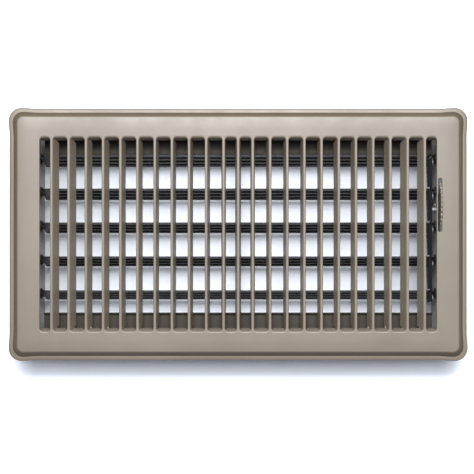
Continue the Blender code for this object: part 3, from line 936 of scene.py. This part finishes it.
def add_flange(bm, cranks):
    """The link's flange, with small rounds at its ends and at the corners of its notches."""
    right = LINK_X + LINK_THICK
    low = cranks[-1] - LINK_LOBE
    high = cranks[0] + LINK_LOBE
    corners = [(right, low), (right, high), (LINK_EDGE, high)]
    for y in cranks[1:]:
        near, far = (y + step for step in FLANGE_NOTCH)
        corners += [(LINK_EDGE, far), (LINK_X, far), (LINK_X, near), (LINK_EDGE, near)]
    corners.append((LINK_EDGE, low))
    around = [corners[-1], *corners, corners[0]]
    outline = []
    for a, b, c in zip(around, around[1:], around[2:]):
        before = (Vector(a) - Vector(b)).normalized() * FLANGE_ROUND
        after = (Vector(c) - Vector(b)).normalized() * FLANGE_ROUND
        for i in range(5):
            t = i / 4
            outline.append(tuple(Vector(b) + before * (1 - t) ** 2 + after * t * t))
    under = LEAD_CRANK[1] + FLANGE_UNDER
    rings = [ring(bm, [(x, y, level) for x, y in outline]) for level in (under, under + FLANGE_THICK)]
    for _, edges in rings:
        bmesh.ops.triangle_fill(bm, edges=edges, use_beauty=True, normal=(0, 0, 1))
    loft(bm, rings[0][0], rings[1][0])


def make_lever():
    """The toothed quadrant, with rounded teeth, a hub, and holes for its rivet and its drive pin."""
    teeth = []
    count = TEETH * TOOTH_STEPS
    for i in range(count + 1):
        angle = LEVER_FROM + (LEVER_TO - LEVER_FROM) * i / count
        dip = TOOTH_DEPTH * (0.5 - 0.5 * cos(2 * pi * i / TOOTH_STEPS)) ** TOOTH_NARROWING
        teeth.append(polar(LEVER_PIVOT, LEVER_RADIUS - dip, angle))
    across = LEVER_TO - LEVER_FROM
    hub = [polar(LEVER_PIVOT, LEVER_HUB, LEVER_TO + (2 * pi - across) * i / 30) for i in range(31)]
    holes = [circle(LEVER_PIVOT, RIVET_HOLE), circle(crank_of(LEVER_PIVOT), PIN_HOLE)]
    bm = bmesh.new()
    add_prism(bm, teeth + hub, holes, LEVER_X, LEVER_THICK)
    bmesh.ops.recalc_face_normals(bm, faces=bm.faces)
    piece(bm, "lever_quadrant", TAUPE, "lever", ["thumb_lever"], edge=0.00018)


def make_round(node, section, centre, material, body):
    bm = bmesh.new()
    add_turned(bm, section, centre)
    bmesh.ops.recalc_face_normals(bm, faces=bm.faces)
    piece(bm, f"{node}_turned", material, body, [node])


def ring_section(inner, outer, low, high, chamfer=0.00015):
    """A closed section for a washer or clip, with softened outer corners."""
    return [
        (inner, low),
        (outer - chamfer, low),
        (outer, low + chamfer),
        (outer, high - chamfer),
        (outer - chamfer, high),
        (inner, high),
        (inner, low),
    ]


def bush_section(near, far):
    """A flanged bush, from its flange's inner face to the end of its barrel."""
    flange = near + BUSH_FLANGE_THICK
    return [
        (BUSH_BORE, near + BUSH_CHAMFER),
        (BUSH_BORE + BUSH_CHAMFER, near),
        (BUSH_FLANGE - BUSH_CHAMFER, near),
        (BUSH_FLANGE, near + BUSH_CHAMFER),
        (BUSH_FLANGE, flange),
        (BUSH_BARREL, flange),
        (BUSH_BARREL, far - BUSH_TIP_CHAMFER),
        (BUSH_BARREL - BUSH_TIP_CHAMFER, far),
        (BUSH_BORE, far),
        (BUSH_BORE, near + BUSH_CHAMFER),
    ]


def rivet_section(low, high):
    """The lever's rivet: an upset tail, a shank and a domed head."""
    shoulder = low + RIVET_TAIL_THICK
    head = high - (RIVET_HEAD_RIM + RIVET_HEAD_DOME)
    rim = head + RIVET_HEAD_RIM
    turns = [pi / 2 * i / 8 for i in range(8, 0, -1)]
    return [
        (0, low),
        (RIVET_TAIL - RIVET_TAIL_CHAMFER, low),
        (RIVET_TAIL, low + RIVET_TAIL_CHAMFER),
        (RIVET_TAIL, shoulder),
        (RIVET_SHANK, shoulder),
        (RIVET_SHANK, head),
        (RIVET_HEAD, head),
        *[(RIVET_HEAD * sin(a), rim + RIVET_HEAD_DOME * cos(a)) for a in turns],
        (0, high),
    ]


def drive_pin_section(low, high):
    """The drive pin: a shank through link and lever, a collar between the two, and a head."""
    collar_low = LINK_X + LINK_THICK + PIN_COLLAR_GAP
    collar_high = LEVER_X - PIN_COLLAR_GAP
    head = high - PIN_HEAD_THICK
    return [
        (0, low),
        (PIN_SHANK - PIN_CHAMFER, low),
        (PIN_SHANK, low + PIN_CHAMFER),
        (PIN_SHANK, collar_low),
        (PIN_COLLAR, collar_low),
        (PIN_COLLAR, collar_high),
        (PIN_SHANK, collar_high),
        (PIN_SHANK, head),
        (PIN_HEAD, head),
        (PIN_HEAD, head + PIN_HEAD_RIM),
        (PIN_HEAD_TOP, high),
        (0, high),
    ]


def make_small_parts():
    """The clips and bushes of all the blades, then the lever's washer, rivet and drive pin."""
    for number, (y, z) in enumerate(PIVOTS, 1):
        clip = f"link_clip_{number}"
        low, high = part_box(clip)
        section = ring_section(PIN_HOLE, CLIP_RADIUS, low.x, high.x)
        make_round(clip, section, crank_of((y, z)), ZINC, f"blade_{number}")
        for word, side in (("left", -1), ("right", 1)):
            node = f"pivot_bush_{word}_{number}"
            low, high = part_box(node)
            near, far = sorted((abs(low.x), abs(high.x)))
            section = [(radius, side * x) for radius, x in bush_section(near, far)]
            make_round(node, section, (y, z), NYLON, "frame")
    low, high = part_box("lever_washer")
    section = ring_section(RIVET_HOLE, WASHER_RADIUS, low.x, high.x, WASHER_CHAMFER)
    make_round("lever_washer", section, LEVER_PIVOT, ZINC, "frame")
    low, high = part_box("lever_rivet")
    section = rivet_section(low.x, high.x)
    make_round("lever_rivet", section, LEVER_PIVOT, ZINC, "frame")
    low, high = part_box("drive_pin")
    section = drive_pin_section(low.x, high.x)
    make_round("drive_pin", section, crank_of(LEVER_PIVOT), ZINC, "lever")


# Floor, light and camera


def make_stage():
    """A pale floor, a cool dome of light, and two softboxes overhead towards the rear."""
    bpy.ops.mesh.primitive_plane_add(size=FLOOR_SIZE, location=(0, 0, CAD_BOX[0].z - FLOOR_GAP))
    floor = bpy.context.object
    floor.name = "floor"
    pale = Nodes("pale_floor", 0.6)
    pale.shader.inputs["Base Color"].default_value = (0.90, 0.91, 0.92, 1)
    floor.data.materials.append(pale.material)
    world = bpy.data.worlds.new("studio")
    bpy.context.scene.world = world
    world.use_nodes = True
    sky = world.node_tree.nodes["Background"]
    sky.inputs["Color"].default_value = (0.88, 0.93, 1.04, 1)
    sky.inputs["Strength"].default_value = 0.50
    add_softbox(
        "diffuser",
        place=(0, 0.60, 1.5),
        size=(1.35, 1.12),
        power=37,
        colour=(0.96, 0.99, 1.06),
    )
    add_softbox(
        "hot_centre",
        place=(0, 0.60, 1.45),
        size=(0.75, 0.30),
        power=16,
        colour=(0.98, 0.99, 1.03),
    )


def add_softbox(name, place, size, power, colour):
    """A flat rectangular light that faces the middle of the grille."""
    light = bpy.data.lights.new(name, "AREA")
    light.shape = "RECTANGLE"
    light.size, light.size_y = size
    light.energy = power
    light.color = colour
    made = bpy.data.objects.new(name, light)
    bpy.context.scene.collection.objects.link(made)
    made.location = place
    towards = Vector((0, 0, FACE_TOP)) - Vector(place)
    made.rotation_euler = towards.to_track_quat("-Z", "Y").to_euler()


def make_camera():
    """Straight above the face, as in the photo."""
    data = bpy.data.cameras.new("overhead")
    data.sensor_width = SENSOR
    data.lens = SENSOR * CAMERA_HEIGHT / VIEW_WIDTH
    camera = bpy.data.objects.new("overhead", data)
    bpy.context.scene.collection.objects.link(camera)
    camera.location = (*CAMERA_SHIFT, FACE_TOP + CAMERA_HEIGHT)
    bpy.context.scene.camera = camera
    view = bpy.context.scene.view_settings
    view.view_transform = "Standard"
    view.gamma = 0.8


make_camera()
make_stage()
make_face()
make_side_wall("side_wall_rear", 1)
make_side_wall("side_wall_front", -1)
make_end_plate("end_plate_left", -1, [(-FLANGE_HALF, FLANGE_HALF)], [])
notch = LEVER_SLOT_HALF_LENGTH + FLANGE_CLEAR
make_end_plate(
    "end_plate_right",
    1,
    [(-FLANGE_HALF, LEVER_PIVOT[0] - notch), (LEVER_PIVOT[0] + notch, FLANGE_HALF)],
    [circle(LEVER_PIVOT, RIVET_HOLE), lever_window()],
)
for number in range(1, 6):
    make_blade(number)
make_link()
make_lever()
make_small_parts()
